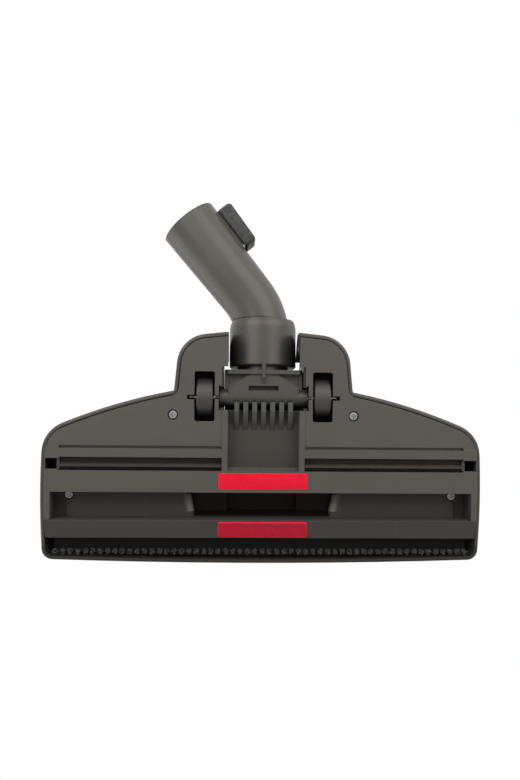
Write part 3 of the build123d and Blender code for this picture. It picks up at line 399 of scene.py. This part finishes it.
steelLook = {
    "tint": (0.72, 0.71, 0.69), "dull": (0.42, 0.39, 0.35), "rough": 0.26, "edge": 0.15 * mm,
    "tarnishSize": 2.5 * mm, "tarnishRange": (0.45, 0.75), "tarnish": 0.6, "tarnishRough": 0.18,
    "markSize": 0.3 * mm, "markStretch": (0.15, 1, 1), "markDepth": 0.008 * mm, "markRough": 0.10,
}
screwLook = {**steelLook, "tint": (0.25, 0.25, 0.24), "dull": (0.10, 0.10, 0.09), "rough": 0.36}
# painted shade: a darker copy of the screw steel for the screws sunk in the channel
shadedScrewLook = {**screwLook, "tint": (0.18, 0.18, 0.17)}
pinLook = {**steelLook, "tint": (0.95, 0.94, 0.92), "dull": (0.80, 0.78, 0.75), "rough": 0.48}


# fibres: tone by fibre ("shade") and from root to tip ("along"), both carried by the mesh
def fibre(name, look):
    material, bench = newMaterial(name)
    shade = bench.add("ShaderNodeAttribute", {"attribute_name": "shade"}, out="Fac")
    along = bench.add("ShaderNodeAttribute", {"attribute_name": "along"}, out="Fac")
    body = bench.mixed(along, (*look["root"], 1), (*look["tip"], 1))
    bench.surface({
        "Base Color": bench.shaded(body, 1 + look["vary"] * (shade - 0.5)),
        "Roughness": look["rough"] + look["roughVary"] * shade,
        "Specular IOR Level": look["gloss"],
        "Sheen Weight": look["sheen"],
        "Sheen Tint": (*look["sheenTint"], 1),
    })
    return material


bristleLook = {"root": (0.014, 0.014, 0.014), "tip": (0.125, 0.130, 0.127), "vary": 0.8,
               "rough": 0.38, "roughVary": 0.1, "gloss": 0.5, "sheen": 0.0, "sheenTint": (1, 1, 1)}
napLook = {"root": (0.95, 0.018, 0.060), "tip": (1.0, 0.028, 0.095), "vary": 0.30,
           "rough": 0.7, "roughVary": 0.1, "gloss": 0.2, "sheen": 0.15, "sheenTint": (1.0, 0.35, 0.4)}

finishes = {
    "housing": mouldedPlastic("housingPlastic", housingLook),
    "sole": mouldedPlastic("solePlastic", soleLook),
    "duct": mouldedPlastic("ductPaintedShade", ductShadeLook),
    "wheel": mouldedPlastic("wheelPlastic", wheelLook),
    "neck": mouldedPlastic("neckPlastic", neckLook),
    "tube": mouldedPlastic("tubePlastic", tubeLook),
    "ring": mouldedPlastic("ringPlastic", ringLook),
    "latch": mouldedPlastic("latchPlastic", latchLook),
    "carrier": mouldedPlastic("carrierPlastic", carrierLook),
    "pedal": mouldedPlastic("pedalPlastic", pedalLook),
    "wiper": softRubber("wiperRubber", wiperLook),
    "seal": softRubber("sealRubber", sealLook),
    "steel": turnedSteel("turnedSteel", steelLook),
    "bristle": fibre("bristleNylon", bristleLook),
    "lint": fibre("lintNap", napLook),
}

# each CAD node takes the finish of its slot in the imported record, except the screws and axle pins
nodeFinishes = {
    "wing_screws": turnedSteel("screwSteel", screwLook),
    # the channel screws take the darker copy of the screw steel, painted shade
    "channel_screws": turnedSteel("shadedScrewSteel", shadedScrewLook),
    "axle_pin_left": turnedSteel("pinSteel", pinLook),
}
nodeFinishes["axle_pin_right"] = nodeFinishes["axle_pin_left"]
for part in frame["record"]["subparts"]:
    node = frame["nodes"][part["node"]]
    node.data.materials.clear()
    node.data.materials.append(nodeFinishes.get(part["node"], finishes[part["material_slot"]]))
print("finishes given:", len(finishes))


def newPiece(name, points, faces, body, slot, shade=None, along=None):
    mesh = bpy.data.meshes.new(name)
    mesh.from_pydata(points.reshape(-1, 3), [], faces)
    mesh.polygons.foreach_set("use_smooth", np.ones(len(mesh.polygons), bool))
    for label, values in (("shade", shade), ("along", along)):
        if values is not None:
            mesh.attributes.new(label, "FLOAT", "POINT").data.foreach_set("value", values.ravel())
    mesh.materials.append(finishes[slot])
    piece = bpy.data.objects.new(name, mesh)
    bpy.context.scene.collection.objects.link(piece)
    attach(piece, body)
    return piece


# Walls of stacked rings: each quad joins two neighbours on a ring, which starts at point "first",
# to the two that follow them on the next ring.
def ringWalls(first, around):
    here = first + np.arange(around)
    beside = first + (np.arange(around) + 1) % around
    return np.stack([here, here + around, beside + around, beside], -1).reshape(-1, 4).tolist()


# A field of fibres: u runs from root to tip and a goes once round. The middle line is
# root + u * reach + u squared * bend, and round it stands a ring of radius thick * (1 - taper * u).
def fibreField(name, root, reach, bend, thick, look, body, slot, rng, paintedShade=0):
    rings, sides = look["rings"], look["sides"]
    u = np.linspace(0, 1, rings)
    a = np.arange(sides) * (2 * np.pi / sides)
    line = root[:, None] + u[None, :, None] * reach[:, None] + (u ** 2)[None, :, None] * bend[:, None]
    ring = np.stack([np.cos(a), np.sin(a), 0 * a], -1)
    width = thick[:, None] * (1 - look["taper"] * u)[None]
    points = line[:, :, None] + width[:, :, None, None] * ring[None, None]
    first = np.arange(len(root))[:, None, None] * rings * sides
    walls = ringWalls(first + np.arange(rings - 1)[:, None] * sides, sides)
    roots = first[:, 0] + np.arange(sides)
    tips = roots[:, ::-1] + (rings - 1) * sides
    # painted shade: a pad's fibres are darkened by its share
    shade = np.broadcast_to(rng.random(len(root))[:, None, None] - paintedShade, points.shape[:3])
    along = np.broadcast_to(u[None, :, None], points.shape[:3])
    return newPiece(name, points, walls + roots.tolist() + tips.tolist(), body, slot, shade, along)


def fibreThick(look, count, rng):
    return look["thick"] * (look["thinnest"] + look["thickerBy"] * rng.random(count))


# front bristles: tufts of nylon standing in the backing strip
bristleSet = {
    "tufts": 57, "perTuft": 42, "spread": 1.25 * mm, "shorter": 1.6 * mm,
    "splay": 0.55 * mm, "straight": 0.4,     # lean of the outer bristles, and the share of it without bend
    "stray": 0.45 * mm,
    "thick": 0.12 * mm, "thinnest": 0.8, "thickerBy": 0.4, "taper": 0.35,
    "rings": 4, "sides": 4, "seed": 11,
}


# A bristle's root lies at a random turn and reach in its tuft's round foot. It splays outwards in
# step with that reach, partly straight and partly as bend, and strays a little in plan.
def buildBristles(look):
    rng = np.random.default_rng(look["seed"])
    low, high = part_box("end_tufts")
    inset = (high.y - low.y) / 2
    tuftX = np.repeat(np.linspace(low.x + inset, high.x - inset, look["tufts"]), look["perTuft"])
    count = len(tuftX)
    turn = rng.random(count) * 2 * np.pi
    reachOut = np.sqrt(rng.random(count))
    out = np.stack([np.cos(turn), np.sin(turn), 0 * turn], -1) * reachOut[:, None]
    middle = np.stack([tuftX, np.full(count, (low.y + high.y) / 2), np.full(count, high.z)], -1)
    root = middle + look["spread"] * out
    length = (high.z - low.z) - look["shorter"] * rng.random(count) ** 2
    reach = look["splay"] * look["straight"] * out + np.stack([0 * length, 0 * length, -length], -1)
    wander = (rng.random((count, 3)) - 0.5) * np.array([2, 2, 0])        # -1 to 1 in plan
    bend = look["splay"] * (1 - look["straight"]) * out + look["stray"] * wander
    thick = fibreThick(look, count, rng)
    bristles = fibreField("front_bristles", root, reach, bend, thick, look, "brush", "bristle", rng)
    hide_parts("bristle_tufts", "end_tufts")


buildBristles(bristleSet)
print("bristles set")


# Rounded slab: a rounded rectangle drawn in by a few steps at a few heights, the steps joined
# by rings of quads and both ends closed by one flat face.
def roundedSlab(halfX, halfY, corner, steps, edgePoints):
    quarter = np.linspace(0, np.pi / 2, edgePoints)
    turn = np.concatenate([quarter + k * np.pi / 2 for k in range(4)])
    signX = np.repeat([1, -1, -1, 1], edgePoints)
    signY = np.repeat([1, 1, -1, -1], edgePoints)
    inset, level = np.array(steps).T[:, :, None]
    radius = corner - inset
    x = signX * (halfX - corner) + radius * np.cos(turn)
    y = signY * (halfY - corner) + radius * np.sin(turn)
    points = np.stack([x, y, level + 0 * x], -1)
    around = len(turn)
    walls = ringWalls(np.arange(len(steps) - 1)[:, None] * around, around)
    top = np.arange(around)
    bottom = top[::-1] + (len(steps) - 1) * around
    return points, walls + [top.tolist(), bottom.tolist()]


# lint pads: a flat backing with a dense nap that leans one way, set in the shallow beds
napSet = {
    "corner": 1.3 * mm, "edgePoints": 12, "edge": 0.1 * mm, "faceEdge": 0.12 * mm,
    "across": 150, "deep": 34,
    "height": 0.75 * mm, "shortest": 0.75, "standing": 0.9,     # share of the height beyond the backing
    "lean": 0.42 * mm, "stray": 0.22 * mm,
    "thick": 0.17 * mm, "thinnest": 0.8, "thickerBy": 0.4, "taper": 0.75,
    "rings": 3, "sides": 3, "seed": 5,
    "tilt": {"rear": 0.0, "front": 10.0},    # degrees
    # painted shade: the front pad's backing and nap are darker in tone
    "paintedShade": {"rear": 0.0, "front": 1.0},
}


# The pad is drawn flat round its middle, then turned about the head's width by its bar's slope.
# The half sizes of the flat pad are worked back from the turned pad's box.
def buildLintPad(place, way, look):
    rng = np.random.default_rng(look["seed"] + (way > 0))
    node = "lint_strip_" + place
    low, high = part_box(node)
    tilt = math.radians(look["tilt"][place])
    cosT, sinT = math.cos(tilt), math.sin(tilt)
    turn = np.array([[1, 0, 0], [0, cosT, -sinT], [0, sinT, cosT]])
    middle = np.array((low + high) / 2)
    size = high - low
    halfX = size.x / 2
    halfY = (size.y * cosT - size.z * sinT) / math.cos(2 * tilt) / 2
    halfZ = (size.z * cosT - size.y * sinT) / math.cos(2 * tilt) / 2
    faceZ = -halfZ + look["height"] * look["standing"]
    rootZ = faceZ + look["edge"]
    steps = [(look["edge"], halfZ), (0, halfZ - look["edge"]), (0, rootZ), (look["faceEdge"], faceZ)]
    points, faces = roundedSlab(halfX, halfY, look["corner"], steps, look["edgePoints"])
    flat = np.zeros(points.shape[:2])
    # painted shade for the front pad, none for the rear
    paintedShade = look["paintedShade"][place]
    pad = newPiece(place + "_lint_pad", points @ turn + middle, faces, "head", "lint",
                   flat + 0.5 - paintedShade, flat)
    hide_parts(node)
    gridX, gridY = np.meshgrid(np.linspace(-halfX, halfX, look["across"] + 2)[1:-1],
                               np.linspace(-halfY, halfY, look["deep"] + 2)[1:-1])
    count = gridX.size
    jitter = (rng.random((count, 2)) - 0.5) * size.x / look["across"]
    clear = look["lean"] + look["stray"]
    rootX = np.clip(gridX.ravel() + jitter[:, 0], clear - halfX, halfX - clear)
    rootY = np.clip(gridY.ravel() + jitter[:, 1], clear - halfY, halfY - clear)
    root = np.stack([rootX, rootY, np.full(count, rootZ)], -1)
    drop = look["height"] * (look["shortest"] + (1 - look["shortest"]) * rng.random(count))
    halfLean = way * look["lean"] / 2
    reach = np.stack([0 * drop, halfLean + 0 * drop, -drop], -1)
    bend = look["stray"] * (rng.random((count, 3)) - 0.5) * np.array([2, 1, 0])
    bend[:, 1] += halfLean
    thick = fibreThick(look, count, rng)
    fibreField(place + "_lint_nap", root @ turn + middle, reach @ turn, bend @ turn, thick, look,
               "head", "lint", rng, paintedShade)


buildLintPad("rear", 1, napSet)
buildLintPad("front", -1, napSet)
print("lint pads laid")


# latch cap: a soft-edged grip over the latch's seat, hollow below
latchSet = {
    "near": 7.0 * mm, "far": 38.6 * mm, "half": 8.9 * mm, "corner": 3.0 * mm, "edgePoints": 8,
    "round": 2.6 * mm, "roundPoints": 6, "top": 29.7 * mm, "slope": 0.050,
    "clear": 21.4 * mm, "lip": 0.2 * mm, "lipLevel": 0.04, "wall": 0.7 * mm, "hollow": 0.62,
}


# The cap is a rounded slab in plan. Each of its levels runs from the round of radius "clear" about
# the socket's axis (level 0) to a slightly sloping top (level 1).
def buildLatchCap(look):
    axis = np.array(wandSocket["axis"])
    mouth = np.array(wandSocket["pos_m"]) + axis * wandSocket["dims"]["length_mm"] / 2 * mm
    arm = np.array(latchPress["pos_m"]) - mouth
    outWay = arm - axis * (arm @ axis)
    outWay = outWay / np.linalg.norm(outWay)
    sideWay = np.cross(outWay, axis)
    halfLong = (look["far"] - look["near"]) / 2
    bulge = look["round"] / (look["top"] - look["clear"])
    turn = np.linspace(np.pi / 2, 0, look["roundPoints"])
    steps = [(look["round"] * (1 - math.cos(a)), 1 - bulge * (1 - math.sin(a))) for a in turn]
    steps += [(0, look["lipLevel"]), (look["lip"], 0), (look["wall"], 0), (look["wall"], look["hollow"])]
    plan, faces = roundedSlab(halfLong, look["half"], look["corner"], steps, look["edgePoints"])
    long, side, level = plan[..., 0], plan[..., 1], plan[..., 2]
    below = np.sqrt(look["clear"] ** 2 - side ** 2)
    above = look["top"] + look["slope"] * (long - halfLong)
    out = below + level * (above - below)
    middle = mouth - axis * (look["near"] + look["far"]) / 2
    points = middle + long[..., None] * axis + side[..., None] * sideWay + out[..., None] * outWay
    cap = newPiece("latch_cap", points, faces, "latch", "latch")
    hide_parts("latch_lever")


buildLatchCap(latchSet)
print("latch capped")

print("scene done")
